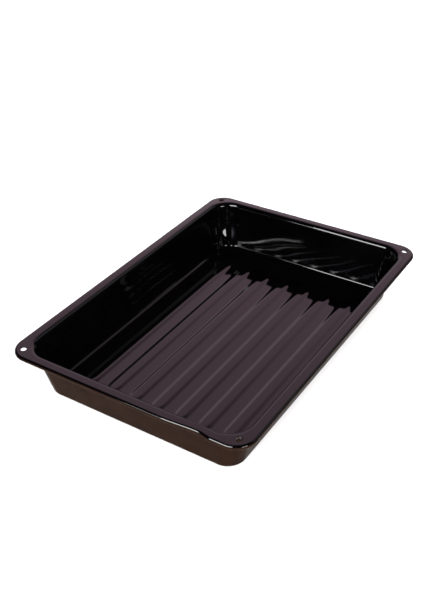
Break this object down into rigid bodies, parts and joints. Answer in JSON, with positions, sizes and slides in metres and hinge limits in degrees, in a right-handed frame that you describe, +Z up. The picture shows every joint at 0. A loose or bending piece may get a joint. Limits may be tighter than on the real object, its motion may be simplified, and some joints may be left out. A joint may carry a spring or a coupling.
{
  "type": "paint roller tray",
  "caption": "Deep rectangular enamelled steel tray with a flat ribbed floor, sloping walls and a flat rim with a curled edge and corner hanging holes.",
  "frame": {"origin": "on the surface that the tray stands on, under the middle of its floor", "axes": "+Z up, +X along the long side, +Y along the short side"},
  "size_m": [0.4, 0.28, 0.0567],
  "materials": {
    "bare_steel": "cold-rolled sheet, wholly covered by the enamel",
    "steel_wire": "drawn wire, hidden in the curl",
    "black_enamel": "glossy black vitreous enamel",
    "brown_black_enamel": "glossy brown-black vitreous enamel, slightly mottled"
  },
  "bodies": {
    "root": {"steel_pan": "bare_steel", "rim_wire": "steel_wire", "inside_enamel": "black_enamel", "outside_enamel": "brown_black_enamel"}
  },
  "joints": []
}
